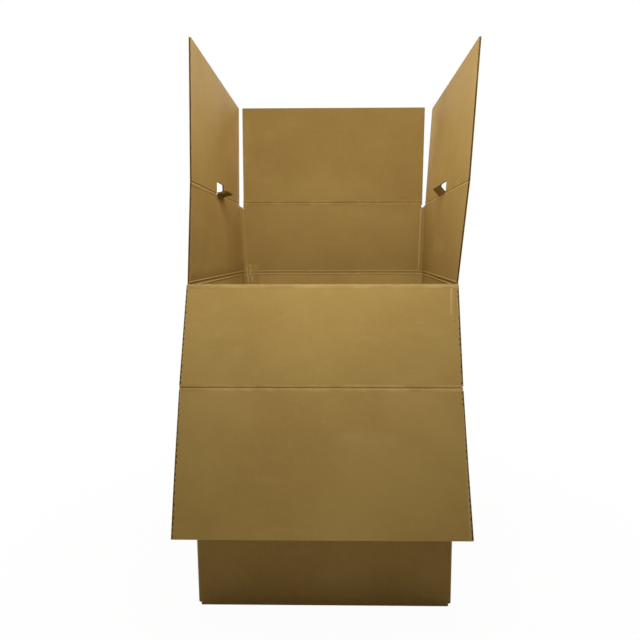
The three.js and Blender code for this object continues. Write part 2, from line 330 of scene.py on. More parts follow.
def flute_sheet(outline, low, high, notch):
    x0, x1, foot, reach, skew, trim = outline
    count = math.ceil((x1 - x0 + abs(skew) * 2) / FLUTE_PITCH) + 2
    start = x0 - abs(skew) - FLUTE_PITCH / 2
    level = (low + high) / 2
    rise = (high - low - MEDIUM) / 2 / SMOOTHED_CREST
    bpy.ops.mesh.primitive_grid_add(
        x_subdivisions=4,
        y_subdivisions=1,
        size=1,
        location=(start + FLUTE_PITCH / 2, (foot + reach) / 2, level),
    )
    sheet = active()
    sheet.scale = (FLUTE_PITCH, reach - foot, 1)
    apply_place(sheet)
    open_edit(sheet)
    pick_vertices(sheet, lambda co: near(co.x, start + FLUTE_PITCH / 2))
    nudge(z=rise)
    pick_vertices(sheet, lambda co: near(co.x, start) or near(co.x, start + FLUTE_PITCH))
    nudge(z=-rise)
    close_edit()
    apply_modifier(
        sheet,
        "ARRAY",
        count=count,
        use_relative_offset=False,
        use_constant_offset=True,
        constant_offset_displace=(FLUTE_PITCH, 0, 0),
        use_merge_vertices=True,
        merge_threshold=0.2 * MM,
    )
    apply_modifier(sheet, "SUBSURF", levels=1, render_levels=1, boundary_smooth="PRESERVE_CORNERS")
    lean = skew / reach
    far_lean = (skew - trim) / reach
    open_edit(sheet)
    cut((x0 + FLUTE_INSET, 0, 0), (-1, lean, 0), clear_outer=True)
    cut((x1 - FLUTE_INSET, 0, 0), (1, -far_lean, 0), clear_outer=True)
    if notch:
        middle, half, height, _ = notch
        for edge in (middle - half, middle + half):
            cut((edge, 0, 0), (1, 0, 0))
        cut((0, height, 0), (0, 1, 0))
        bpy.ops.mesh.select_mode(type="FACE")
        pick_faces(sheet, lambda co, n: abs(co.x - middle) < half and co.y < height)
        bpy.ops.mesh.delete(type="FACE")
    close_edit()
    apply_modifier(sheet, "SOLIDIFY", thickness=MEDIUM, offset=0)
    return sheet


def board_piece(
    name, outline, low, notch=None, nicks=0, round_free=0.0, square_foot=False, crushed=0.0
):
    x0, x1, foot, reach, skew, trim = outline
    high = low + BOARD
    inner_foot = foot if square_foot else foot + BOARD
    inner = (x0 + crushed, x1 - crushed, inner_foot, reach, skew, trim)
    outer_liner = liner_sheet(outline, low, notch, nicks)
    inner_liner = liner_sheet(inner, high, notch, nicks)
    if round_free:
        for sheet in (outer_liner, inner_liner):
            open_edit(sheet)
            pick_vertices(sheet, lambda co: co.y > reach - MM)
            bpy.ops.mesh.bevel(offset=round_free, segments=ROUND_STEPS, affect="VERTICES")
            close_edit()
    apply_modifier(outer_liner, "SOLIDIFY", thickness=LINER, offset=1)
    apply_modifier(inner_liner, "SOLIDIFY", thickness=LINER, offset=-1)
    flute_outline = (x0, x1, inner_foot + FLUTE_FOOT_INSET, reach - FLUTE_INSET, skew, trim)
    flutes = flute_sheet(flute_outline, low + LINER, high - LINER, notch)
    for sheet in (outer_liner, inner_liner):
        sheet.data.materials.append(KRAFT_LINER)
    flutes.data.materials.append(KRAFT_MEDIUM)
    smooth(flutes, SMOOTH_FLUTES)
    return join(name, [outer_liner, inner_liner, flutes])


def finish_piece(piece, place, body, node):
    piece.matrix_world = place
    apply_place(piece)
    open_edit(piece)
    bpy.ops.mesh.select_all(action="SELECT")
    bpy.ops.mesh.normals_make_consistent(inside=False)
    close_edit()
    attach(piece, body)
    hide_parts(node)


# Materials


def new_group(name, inputs, outputs):
    group = bpy.data.node_groups.new(name, "ShaderNodeTree")
    for label, kind, value in inputs:
        socket = group.interface.new_socket(label, in_out="INPUT", socket_type=kind)
        if value is not None:
            socket.default_value = value
    for label, kind in outputs:
        group.interface.new_socket(label, in_out="OUTPUT", socket_type=kind)
    entry = group.nodes.new("NodeGroupInput")
    leave = group.nodes.new("NodeGroupOutput")
    return group, entry, leave


def math_node(tree, operation, first, second=None, clamp=False):
    node = tree.nodes.new("ShaderNodeMath")
    node.operation = operation
    node.use_clamp = clamp
    for index, value in enumerate((first, second)):
        if value is None:
            continue
        if isinstance(value, (int, float)):
            node.inputs[index].default_value = value
        else:
            tree.links.new(value, node.inputs[index])
    return node.outputs[0]


def ramp_between(tree, value, low, high):
    node = tree.nodes.new("ShaderNodeMapRange")
    node.interpolation_type = "SMOOTHSTEP"
    tree.links.new(value, node.inputs["Value"])
    node.inputs["From Min"].default_value = low
    node.inputs["From Max"].default_value = high
    return node.outputs["Result"]


def noise(tree, vector, scale, detail, roughness=0.5):
    node = tree.nodes.new("ShaderNodeTexNoise")
    tree.links.new(vector, node.inputs["Vector"])
    if isinstance(scale, (int, float)):
        node.inputs["Scale"].default_value = scale
    else:
        tree.links.new(scale, node.inputs["Scale"])
    node.inputs["Detail"].default_value = detail
    node.inputs["Roughness"].default_value = roughness
    return node.outputs["Fac"]


def stretched(tree, vector, factors):
    node = tree.nodes.new("ShaderNodeVectorMath")
    node.operation = "MULTIPLY"
    tree.links.new(vector, node.inputs[0])
    node.inputs[1].default_value = factors
    return node.outputs[0]


# Paper fibres: broad cloudy patches, short lying fibres and fine dark and light specks
def build_fibre_group():
    group, entry, leave = new_group(
        "paper_fibre",
        [
            ("Place", "NodeSocketVector", None),
            ("Cloud Scale", "NodeSocketFloat", 5.0),
            ("Fibre Scale", "NodeSocketFloat", 260.0),
        ],
        [("Cloud", "NodeSocketFloat"), ("Fibre", "NodeSocketFloat"), ("Speck", "NodeSocketFloat")],
    )
    place = entry.outputs["Place"]
    broad = noise(group, place, entry.outputs["Cloud Scale"], detail=4, roughness=0.55)
    fine = entry.outputs["Fibre Scale"]
    lying = noise(group, stretched(group, place, (1.0, 1.0, 0.16)), fine, detail=3, roughness=0.6)
    across = noise(group, stretched(group, place, (0.2, 0.2, 1.0)), fine, detail=3, roughness=0.6)
    fibre = math_node(group, "MAXIMUM", lying, across)
    dots = noise(group, place, scale=900.0, detail=2, roughness=0.7)
    speck = ramp_between(group, dots, low=0.62, high=0.74)
    group.links.new(broad, leave.inputs["Cloud"])
    group.links.new(fibre, leave.inputs["Fibre"])
    group.links.new(speck, leave.inputs["Speck"])
    return group


# The flutes under the liner press through it as faint upright ridges
def build_washboard_group():
    group, entry, leave = new_group(
        "flute_washboard",
        [("Place", "NodeSocketVector", None), ("Pitch", "NodeSocketFloat", FLUTE_PITCH)],
        [("Ridge", "NodeSocketFloat")],
    )
    split = group.nodes.new("ShaderNodeSeparateXYZ")
    group.links.new(entry.outputs["Place"], split.inputs[0])
    along = math_node(group, "ADD", split.outputs["X"], split.outputs["Y"])
    turns = math_node(group, "DIVIDE", along, entry.outputs["Pitch"])
    angle = math_node(group, "MULTIPLY", turns, 2 * math.pi)
    wave = math_node(group, "SINE", angle)
    half = math_node(group, "MULTIPLY", wave, 0.5)
    ridge = math_node(group, "ADD", half, 0.5)
    group.links.new(ridge, leave.inputs["Ridge"])
    return group


CORNER_WEAR_FROM = HALF_WIDTH - 5.5 * MM
CORNER_WEAR_TO = HALF_WIDTH - 0.8 * MM


# Rubbed places: long soft scuffs and the worn upright corners of the carton
def build_scuff_group():
    group, entry, leave = new_group(
        "board_scuff",
        [("Place", "NodeSocketVector", None), ("Scuff Scale", "NodeSocketFloat", 9.0)],
        [("Scuff", "NodeSocketFloat"), ("Corner", "NodeSocketFloat")],
    )
    place = entry.outputs["Place"]
    long_place = stretched(group, place, (0.5, 0.5, 1.6))
    drawn = noise(group, long_place, entry.outputs["Scuff Scale"], detail=6, roughness=0.65)
    scuff = ramp_between(group, drawn, low=0.56, high=0.72)
    split = group.nodes.new("ShaderNodeSeparateXYZ")
    group.links.new(place, split.inputs[0])
    across = math_node(group, "ABSOLUTE", split.outputs["X"])
    deep = math_node(group, "ABSOLUTE", split.outputs["Y"])
    beside = ramp_between(group, across, CORNER_WEAR_FROM, CORNER_WEAR_TO)
    behind = ramp_between(group, deep, CORNER_WEAR_FROM, CORNER_WEAR_TO)
    both = math_node(group, "MULTIPLY", beside, behind)
    broken = math_node(group, "ADD", noise(group, place, scale=70.0, detail=3), 0.25)
    corner = math_node(group, "MULTIPLY", both, broken, clamp=True)
    group.links.new(scuff, leave.inputs["Scuff"])
    group.links.new(corner, leave.inputs["Corner"])
    return group


SCORE_HALF_BAND = 5.5 * MM


# A pressed crease line at one height: a painted highlight band where its beads would catch the light,
# with a painted shade in the middle where the groove lies in shade
def build_crease_group():
    group, entry, leave = new_group(
        "crease_highlight_and_shade",
        [
            ("Place", "NodeSocketVector", None),
            ("Height", "NodeSocketFloat", FOLD_HEIGHT),
            ("Half Band", "NodeSocketFloat", SCORE_HALF_BAND),
        ],
        [("Light", "NodeSocketFloat"), ("Dark", "NodeSocketFloat")],
    )
    split = group.nodes.new("ShaderNodeSeparateXYZ")
    group.links.new(entry.outputs["Place"], split.inputs[0])
    above = math_node(group, "SUBTRACT", split.outputs["Z"], entry.outputs["Height"])
    away = math_node(group, "ABSOLUTE", above)
    share = math_node(group, "DIVIDE", away, entry.outputs["Half Band"])
    off_edge = math_node(group, "ABSOLUTE", math_node(group, "SUBTRACT", share, 1.0))
    light = math_node(group, "SUBTRACT", 1.0, ramp_between(group, off_edge, low=0.0, high=0.45))
    dark = math_node(group, "SUBTRACT", 1.0, ramp_between(group, share, low=0.0, high=0.4))
    group.links.new(light, leave.inputs["Light"])
    group.links.new(dark, leave.inputs["Dark"])
    return group


def place_group(tree, group, place, **values):
    node = tree.nodes.new("ShaderNodeGroup")
    node.node_tree = group
    tree.links.new(place, node.inputs["Place"])
    for key, value in values.items():
        node.inputs[key.replace("_", " ")].default_value = value
    return node


def mixed(tree, factor, first, second):
    node = tree.nodes.new("ShaderNodeMix")
    node.data_type = "RGBA"
    if isinstance(factor, (int, float)):
        node.inputs["Factor"].default_value = factor
    else:
        tree.links.new(factor, node.inputs["Factor"])
    for label, value in (("A", first), ("B", second)):
        socket = [s for s in node.inputs if s.name == label and s.type == "RGBA"][0]
        if isinstance(value, tuple):
            socket.default_value = value
        else:
            tree.links.new(value, socket)
    return [s for s in node.outputs if s.type == "RGBA"][0]


def material(name):
    made = bpy.data.materials.new(name)
    made.use_nodes = True
    tree = made.node_tree
    tree.nodes.clear()
    shader = tree.nodes.new("ShaderNodeBsdfPrincipled")
    output = tree.nodes.new("ShaderNodeOutputMaterial")
    tree.links.new(shader.outputs[0], output.inputs["Surface"])
    coordinates = tree.nodes.new("ShaderNodeTexCoord")
    return made, tree, shader, coordinates.outputs["Object"]


def add_bump(tree, shader, height, distance):
    bump = tree.nodes.new("ShaderNodeBump")
    bump.inputs["Distance"].default_value = distance
    bump.inputs["Strength"].default_value = 1.0
    tree.links.new(height, bump.inputs["Height"])
    tree.links.new(bump.outputs[0], shader.inputs["Normal"])


def tinted(tree, colour, amount, tint, strength):
    return mixed(tree, math_node(tree, "MULTIPLY", amount, strength), colour, tint)


def set_roughness(tree, shader, pattern, spread, base):
    rough = math_node(tree, "MULTIPLY", pattern, spread)
    tree.links.new(math_node(tree, "ADD", rough, base), shader.inputs["Roughness"])


PAPER_LIGHT = (0.445, 0.303, 0.093, 1)
PAPER_MIDDLE = (0.395, 0.261, 0.073, 1)
PAPER_DARK = (0.32, 0.196, 0.051, 1)
# A lighter tone for real wear, also used as a painted highlight on the creases and beads
PAPER_WEAR_AND_HIGHLIGHT = (0.50, 0.353, 0.138, 1)
# A pale painted highlight for the front fold's crown
PAPER_HIGHLIGHT = (0.78, 0.62, 0.32, 1)
# A near-black painted shade, for the crease's groove and the hollow cut edges
PAPER_PAINTED_SHADE = (0.10, 0.056, 0.022, 1)
PAPER_FLUTE = (0.23, 0.142, 0.044, 1)
TAPE_DARK = (0.36, 0.20, 0.06, 1)
TAPE_LIGHT = (0.44, 0.27, 0.10, 1)


def paper_colour(tree, place, cloud=5.0, fibre=260.0):
    fibres = place_group(tree, FIBRE, place, Cloud_Scale=cloud, Fibre_Scale=fibre)
    cloudy = ramp_between(tree, fibres.outputs["Cloud"], low=0.32, high=0.68)
    colour = mixed(tree, cloudy, PAPER_DARK, PAPER_LIGHT)
    colour = mixed(tree, 0.62, colour, PAPER_MIDDLE)
    lying = ramp_between(tree, fibres.outputs["Fibre"], low=0.48, high=0.75)
    colour = tinted(tree, colour, lying, PAPER_LIGHT, strength=0.38)
    colour = tinted(tree, colour, fibres.outputs["Speck"], PAPER_DARK, strength=0.35)
    return colour, fibres


def build_liner_material():
    made, tree, shader, place = material("kraft_liner")
    colour, fibres = paper_colour(tree, place)
    ridges = place_group(tree, WASHBOARD, place, Pitch=FLUTE_PITCH)
    colour = tinted(tree, colour, ridges.outputs["Ridge"], PAPER_DARK, strength=0.07)
    scuffs = place_group(tree, SCUFF, place, Scuff_Scale=9.0)
    colour = tinted(tree, colour, scuffs.outputs["Scuff"], PAPER_WEAR_AND_HIGHLIGHT, strength=0.22)
    colour = tinted(tree, colour, scuffs.outputs["Corner"], PAPER_WEAR_AND_HIGHLIGHT, strength=0.7)
    # At the fold height the liner gets a painted highlight band with a painted shade in its middle
    crease = place_group(tree, CREASE_LIGHT_AND_SHADE, place, Height=FOLD_HEIGHT, Half_Band=SCORE_HALF_BAND)
    colour = tinted(tree, colour, crease.outputs["Light"], PAPER_WEAR_AND_HIGHLIGHT, strength=0.5)
    colour = tinted(tree, colour, crease.outputs["Dark"], PAPER_PAINTED_SHADE, strength=0.25)
    tree.links.new(colour, shader.inputs["Base Color"])
    set_roughness(tree, shader, fibres.outputs["Fibre"], spread=0.22, base=0.66)
    shader.inputs["Specular IOR Level"].default_value = 0.28
    ridge = math_node(tree, "MULTIPLY", ridges.outputs["Ridge"], 0.22)
    grain = math_node(tree, "MULTIPLY", fibres.outputs["Fibre"], 0.45)
    height = math_node(tree, "ADD", ridge, grain)
    dent = math_node(tree, "MULTIPLY", fibres.outputs["Cloud"], 2.2)
    add_bump(tree, shader, math_node(tree, "ADD", height, dent), distance=0.4 * MM)
    return made


def build_medium_material():
    made, tree, shader, place = material("kraft_medium")
    fibres = place_group(tree, FIBRE, place, Cloud_Scale=40.0, Fibre_Scale=420.0)
    # The medium's colour runs down to a painted shade, standing in for the shade in the cut edges
    colour = mixed(tree, fibres.outputs["Cloud"], PAPER_PAINTED_SHADE, PAPER_FLUTE)
    tree.links.new(colour, shader.inputs["Base Color"])
    set_roughness(tree, shader, fibres.outputs["Fibre"], spread=0.2, base=0.75)
    shader.inputs["Specular IOR Level"].default_value = 0.15
    add_bump(tree, shader, fibres.outputs["Fibre"], distance=0.3 * MM)
    return made


# Creased liner: random rubbed patches, plus a painted highlight share that lightens the whole piece
# towards the highlight colour
def build_crease_material(name, highlight_share, highlight_colour=PAPER_WEAR_AND_HIGHLIGHT):
    made, tree, shader, place = material(name)
    colour, fibres = paper_colour(tree, place, cloud=24.0, fibre=420.0)
    wear_and_highlight = ramp_between(tree, fibres.outputs["Cloud"], low=0.45, high=0.7)
    wear_and_highlight = math_node(tree, "ADD", math_node(tree, "MULTIPLY", wear_and_highlight, 0.25), highlight_share, clamp=True)
    colour = mixed(tree, wear_and_highlight, colour, highlight_colour)
    tree.links.new(colour, shader.inputs["Base Color"])
    set_roughness(tree, shader, fibres.outputs["Fibre"], spread=0.2, base=0.6)
    shader.inputs["Specular IOR Level"].default_value = 0.3
    add_bump(tree, shader, fibres.outputs["Fibre"], distance=0.4 * MM)
    return made


def build_tape_material():
    made, tree, shader, place = material("kraft_tape_film")
    fibres = place_group(tree, FIBRE, place, Cloud_Scale=18.0, Fibre_Scale=150.0)
    colour = mixed(tree, fibres.outputs["Cloud"], TAPE_DARK, TAPE_LIGHT)
    tree.links.new(colour, shader.inputs["Base Color"])
    set_roughness(tree, shader, fibres.outputs["Cloud"], spread=0.25, base=0.36)
    shader.inputs["Specular IOR Level"].default_value = 0.3
    shader.inputs["Coat Weight"].default_value = 0.12
    shader.inputs["Coat Roughness"].default_value = 0.3
    add_bump(tree, shader, fibres.outputs["Cloud"], distance=0.6 * MM)
    return made


FIBRE = build_fibre_group()
WASHBOARD = build_washboard_group()
SCUFF = build_scuff_group()
CREASE_LIGHT_AND_SHADE = build_crease_group()
KRAFT_LINER = build_liner_material()
KRAFT_MEDIUM = build_medium_material()
KRAFT_CREASE = build_crease_material("creased_liner", highlight_share=0.0)
# The beads, ridges, streak crests and roll crown get a painted highlight in their colour
KRAFT_HIGHLIGHT = build_crease_material("bead_painted_highlight", highlight_share=0.75)
# The crown of the front fold gets a paler painted highlight
KRAFT_CROWN_HIGHLIGHT = build_crease_material("crown_painted_highlight", highlight_share=0.7, highlight_colour=PAPER_HIGHLIGHT)
KRAFT_TAPE = build_tape_material()


# The flaps, the drop panel and the tabs


def build_side_flap(name, node, body, crease, lean):
    length = crease_length(crease)
    skewed = abs(crease[1].x - crease[0].x) / abs(crease[1].y - crease[0].y)
    trim = FLAP_REACH * skewed
    notch = (crease_middle(crease), SLOT_HALF, SLOT_HEIGHT, SLOT_RADIUS)
    piece = board_piece(name, (0, length, SCORE_GAP, FLAP_REACH, 0, trim), 0, notch=notch)
    finish_piece(piece, hinged_frame(crease, lean), body, node)


def build_tab(name, node, body, crease, turn):
    outline = (-TAB_HALF, TAB_HALF, SCORE_GAP, TAB_REACH, 0, 0)
    piece = board_piece(name, outline, -BOARD, round_free=SLOT_RADIUS, square_foot=True)
    place = tab_fold_frame(crease) @ Matrix.Rotation(turn, 4, "X")
    finish_piece(piece, place, body, node)


build_side_flap("left_flap_board", "left_flap", "left_flap", LEFT_CREASE, LEFT_LEAN)
build_side_flap("right_flap_board", "right_flap", "right_flap", RIGHT_CREASE, RIGHT_LEAN)
build_tab("left_tab_board", "left_bar_tab", "left_bar_tab", LEFT_CREASE, LEFT_TAB_TURN)
build_tab("right_tab_board", "right_bar_tab", "right_bar_tab", RIGHT_CREASE, RIGHT_TAB_TURN)

back_outline = (0, crease_length(BACK_CREASE), SCORE_GAP, FLAP_REACH, BACK_SKEW, 0)
back_board = board_piece("back_flap_board", back_outline, 0, crushed=BACK_CRUSH)
finish_piece(back_board, hinged_frame(BACK_CREASE, 0), "back_flap", "back_flap")

panel_place = hinged_frame(PANEL_FOLD, PANEL_HANG)
panel_outline = (0, crease_length(PANEL_FOLD), SCORE_GAP, PANEL_REACH - SCORE_SLOPE, 0, 0)
panel_board = board_piece(
    "drop_panel_board", panel_outline, 0, nicks=PANEL_NICKS, square_foot=True, crushed=PANEL_CRUSH
)
finish_piece(panel_board, panel_place, "drop_panel", "front_drop_panel")

front_outline = (0, crease_length(PANEL_FOLD), SCORE_GAP, FLAP_REACH, FRONT_SKEW, 0)
front_board = board_piece(
    "front_flap_board", front_outline, 0, nicks=FRONT_NICKS, crushed=FRONT_CRUSH
)
front_place = panel_place @ Matrix.Translation((0, PANEL_REACH, 0))
finish_piece(front_board, front_place, "front_flap", "front_flap")


# The carton's own sheet, with its open upright cut edges beside the lowered front


EDGE_HOLLOW = 7 * MM
WELD_REACH = 0.01 * MM
FLAT_ANGLE = math.radians(0.6)


def build_carton():
    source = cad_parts["carton_body"]
    carton = bpy.data.objects.new("carton_board", source.data.copy())
    bpy.context.scene.collection.objects.link(carton)
    carton.data.materials.clear()
    carton.data.materials.append(KRAFT_LINER)
    open_edit(carton)
    bpy.ops.mesh.customdata_custom_splitnormals_clear()
    bpy.ops.mesh.select_all(action="SELECT")
    bpy.ops.mesh.remove_doubles(threshold=WELD_REACH)
    bpy.ops.mesh.dissolve_limited(angle_limit=FLAT_ANGLE)
    bpy.ops.mesh.select_mode(type="FACE")
    above_fold = FOLD_HEIGHT + 5 * MM
    pick_faces(
        carton,
        lambda co, n: n.y < -0.99 and near(co.y, SIDE_FRONT, 0.5 * MM) and co.z > above_fold,
    )
    bpy.ops.mesh.inset(thickness=LINER, depth=0)
    bpy.ops.mesh.extrude_region_move(TRANSFORM_OT_translate={"value": (0, EDGE_HOLLOW, 0)})
    close_edit()
    give_paper(carton, KRAFT_MEDIUM, lambda face: face.select)
    smooth(carton, SMOOTH_CARTON)
    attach(carton, "body")
    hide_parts("carton_body")


build_carton()


# Liner over the creases: a strip laid along each crease between the two pieces it joins


STRIP_STEP = 14 * MM
STRIP_THICKNESS = 0.3 * MM


def crease_strip(
    name, first, last, profile, place, pair, blend_from, blend_to, facing=1, wobble=0.12
):
    lead = 0.05 * MM
    start_y, start_z = profile[0]
    middle = (first + last) / 2
    bpy.ops.mesh.primitive_plane_add(size=1, location=(middle, start_y * MM, start_z * MM))
    strip = active()
    strip.name = name
    strip.scale = (last - first, lead, 1)
    apply_place(strip)
    open_edit(strip, "EDGE")
    pick_edges(strip, lambda co, e: co.y > start_y * MM + lead / 4)
    for (y0, z0), (y1, z1) in zip(profile, profile[1:]):
        bpy.ops.mesh.extrude_region_move(
            TRANSFORM_OT_translate={"value": (0, (y1 - y0) * MM, (z1 - z0) * MM)}
        )
    bpy.ops.mesh.select_all(action="DESELECT")
    pick_edges(strip, lambda co, e: near(co.x, middle))
    bpy.ops.mesh.subdivide(number_cuts=max(3, round((last - first) / STRIP_STEP)))
    bpy.ops.mesh.select_mode(type="VERT")
    pick_vertices(strip, lambda co: first + MM < co.x < last - MM)
    bpy.ops.transform.vertex_random(offset=wobble * MM, uniform=0.0, normal=0.0, seed=STRIP_SEED)
    close_edit()
    apply_modifier(strip, "SOLIDIFY", thickness=STRIP_THICKNESS, offset=-facing)
    strip.data.materials.append(KRAFT_CREASE)
    smooth(strip, SMOOTH_ROUND)
    strip.matrix_world = place
    apply_place(strip)
    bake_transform(strip)
    return strip


# Heights along the board and depths into the box, in millimetres, from the crease on the outer face
INNER_CREASE = [
    (-7.5, 4.24), (-5.2, 4.42), (-3.2, 4.7), (-1.9, 4.5), (-0.9, 3.5), (0, 2.6),
    (0.9, 3.0), (2.0, 4.2), (3.4, 4.5), (5.2, 4.35), (7.5, 4.24),
]

# The right flap's crease is opened out, with a painted highlight on the lip below it
OPENED_CREASE = [
    (-7.5, 4.24), (-5.2, 4.5), (-3.2, 5.0), (-1.9, 4.9), (-0.9, 4.1), (0, 3.4),
    (0.9, 3.7), (2.0, 4.4), (3.4, 4.5), (5.2, 4.35), (7.5, 4.24),
]
LIP_TOP = 0.9 * MM
LIP_FOOT = 5.4 * MM

# The front's crease is pressed flatter, so that it clears the ends of the side flaps when it stands up
FLAT_CREASE = [
    (-7.5, 4.21), (-5.2, 4.28), (-3.2, 4.34), (-1.9, 4.1), (-0.9, 3.3), (0, 2.5),
    (0.9, 2.9), (2.0, 3.9), (3.4, 4.34), (5.2, 4.28), (7.5, 4.21),
]

# The outer liner closes the gap along each crease
OUTER_CREASE = [(-0.7, 0.02), (-0.25, 0.02), (0.25, 0.02), (0.7, 0.02)]

# Two points in millimetres for each kind of strip, either side of its crease
INNER_BLEND = ((300, -8.5, 4), (300, 8.5, 4))
OUTER_BLEND = ((300, -0.5, 0.2), (300, 0.5, 0.2))
FOLD_BLEND = ((300, 2, 4.2), (300, 2, -4.2))

# How far the strips stay short of the ends of their creases
STRIP_END = 0.2 * MM
FRONT_STRIP_END = 2 * MM


def outer_strip(name, first, last, place, pair):
    crease_strip(
        name, first, last, OUTER_CREASE, place, pair, *OUTER_BLEND, facing=-1, wobble=0.0
    )


back_place = crease_frame(BACK_CREASE)
back_end = crease_length(BACK_CREASE) - STRIP_END
outer_strip("back_crease_outer", STRIP_END, back_end, back_place, ("body", "back_flap"))
crease_strip(
    "back_crease_liner", STRIP_END, back_end, INNER_CREASE, back_place,
    ("body", "back_flap"), *INNER_BLEND,
)
for side, crease, body, crease_profile in (
    ("left", LEFT_CREASE, "left_flap", INNER_CREASE),
    ("right", RIGHT_CREASE, "right_flap", OPENED_CREASE),
):
    middle = crease_middle(crease)
    place = crease_frame(crease)
    top = crease[0].z
    spans = (
        (STRIP_END, middle - SLOT_HALF - STRIP_END),
        (middle + SLOT_HALF + STRIP_END, crease_length(crease) - STRIP_END),
    )
    for part, (first, last) in zip(("a", "b"), spans):
        strip = crease_strip(
            f"{side}_crease_liner_{part}", first, last, crease_profile, place,
            ("body", body), *INNER_BLEND,
        )
        # Below the right crease the lip gets a painted highlight
        if side == "right":
            give_paper(strip, KRAFT_HIGHLIGHT, lambda face: LIP_TOP < top - face.center.z < LIP_FOOT)
        outer_strip(f"{side}_crease_outer_{part}", first, last, place, ("body", body))


# Under each tab the inner liner runs from the wall on to the tab


def tab_hinge(name, crease, turn, body):
    profile = [(-6.0, -0.26), (-3.0, -0.2), (-1.0, -0.1), (0.0, 0.1)]
    lift = 0.1
    for reach in (1.0, 3.0, 6.0):
        profile.append((
            reach * math.cos(turn) - lift * math.sin(turn),
            reach * math.sin(turn) + lift * math.cos(turn),
        ))
    blend_to = (0, 2 * math.cos(turn), 2 * math.sin(turn))
    crease_strip(
        name, -TAB_HALF + MM, TAB_HALF - MM, profile, tab_fold_frame(crease),
        ("body", body), (0, -2, 0), blend_to,
    )


tab_hinge("left_tab_hinge", LEFT_CREASE, LEFT_TAB_TURN, "left_bar_tab")
tab_hinge("right_tab_hinge", RIGHT_CREASE, RIGHT_TAB_TURN, "right_bar_tab")


# The lowered front: the inner liner runs over the top of the fold and down to the panel's own crease


def build_front_fold():
    place = crease_frame(PANEL_FOLD)
    hang = -PANEL_HANG
    profile = [
        (-9.0, 4.25), (-5.0, 4.32), (-2.2, 4.25), (-0.7, 3.7), (0.3, 2.7), (0.85, 1.4),
        (1.0, 0.0), (0.95, -1.5), (0.6, -2.9), (-0.1, -4.2), (-1.1, -5.1),
    ]
    last_y, last_z = profile[-1]
    for reach in (2.0, 4.5, 7.5):
        profile.append((last_y + math.cos(hang) * reach, last_z - math.sin(hang) * reach))
    strip = crease_strip(
        "front_fold_liner", FRONT_STRIP_END, crease_length(PANEL_FOLD) - FRONT_STRIP_END,
        profile, place, ("body", "drop_panel"), *FOLD_BLEND,
    )
    # The faces on top of the fold get a painted highlight
    give_paper(strip, KRAFT_CROWN_HIGHLIGHT, lambda face: face.normal.z > 0.45)


build_front_fold()

front_end = crease_length(PANEL_FOLD) - FRONT_STRIP_END
crease_strip(
    "front_crease_liner", FRONT_STRIP_END, front_end, FLAT_CREASE, front_place,
    ("drop_panel", "front_flap"), *INNER_BLEND, wobble=0.04,
)
outer_strip(
    "front_crease_outer", FRONT_STRIP_END, front_end, front_place, ("drop_panel", "front_flap")
)


# Inside at the height of the front fold the score shows as two beads with a painted highlight round
# the three walls


BEAD_HEIGHTS = (FOLD_HEIGHT - 4.7 * MM, FOLD_HEIGHT + 4.7 * MM)
BEAD_RISE = 1.2 * MM
BEAD_HALF = 1.7 * MM
BEAD_FRONT = -0.300
BEAD_BACK = 0.290
BEAD_CUTS = (0.12, 0.3, 0.46, 0.63, 0.81)
BEAD_WOBBLE = 0.4 * MM


def half_bead(name, length, rise, half, seed):
    bpy.ops.mesh.primitive_cylinder_add(vertices=10, radius=1, depth=length, end_fill_type="NGON")
    bead = active()
    bead.name = name
    bead.scale = (rise, half, 1)
    apply_place(bead)
    open_edit(bead)
    keep_half((-1, 0, 0))
    for share in BEAD_CUTS:
        cut((0, 0, (share - 0.5) * length), (0, 0, 1))
    pick_vertices(bead, lambda co: abs(co.z) < length / 2 - MM and co.x > rise * 0.2)
    bpy.ops.transform.vertex_random(offset=BEAD_WOBBLE, uniform=0.0, normal=0.0, seed=seed)
    close_edit()
    return bead


def lay_bead(bead, middle, inward, along, paper):
    upward = along.cross(inward)
    turned = Matrix((inward, upward, along)).transposed().to_4x4()
    bead.matrix_world = Matrix.Translation(middle) @ turned
    apply_place(bead)
    bead.data.materials.append(paper)
    smooth(bead, SMOOTH_ROUND)


def score_bead(name, start, end, height):
    along = end - start
    bead = half_bead(name, along.length, BEAD_RISE, BEAD_HALF, round(height * 1e4))
    inward = Vector((-along.y, along.x, 0)).normalized()
    middle = (start + end) / 2
    middle.z = height
    if inward.dot(Vector((middle.x, middle.y, 0))) > 0:
        inward.negate()
    lay_bead(bead, middle, inward, along.normalized(), KRAFT_HIGHLIGHT)
    return bead


def build_score_beads():
    corners = {
        "left": (Vector((-WALL_INNER, BEAD_FRONT, 0)), Vector((-WALL_INNER, BEAD_BACK, 0))),
        "back": (Vector((-BEAD_BACK, WALL_INNER, 0)), Vector((BEAD_BACK, WALL_INNER, 0))),
        "right": (Vector((WALL_INNER, BEAD_BACK, 0)), Vector((WALL_INNER, BEAD_FRONT, 0))),
    }
    beads = []
    for wall, (start, end) in corners.items():
        for i, height in enumerate(BEAD_HEIGHTS):
            beads.append(score_bead(f"{wall}_bead_{i}", start, end, height))
    piece = join("fold_score_beads", beads)
    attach(piece, "body")


build_score_beads()


# The drop panel is creased beside its right top corner: a soft ridge, and an upright one and a short
# flat one with a painted highlight


RIDGE_RISE = 0.9 * MM
RIDGE_SINK = 0.1 * MM


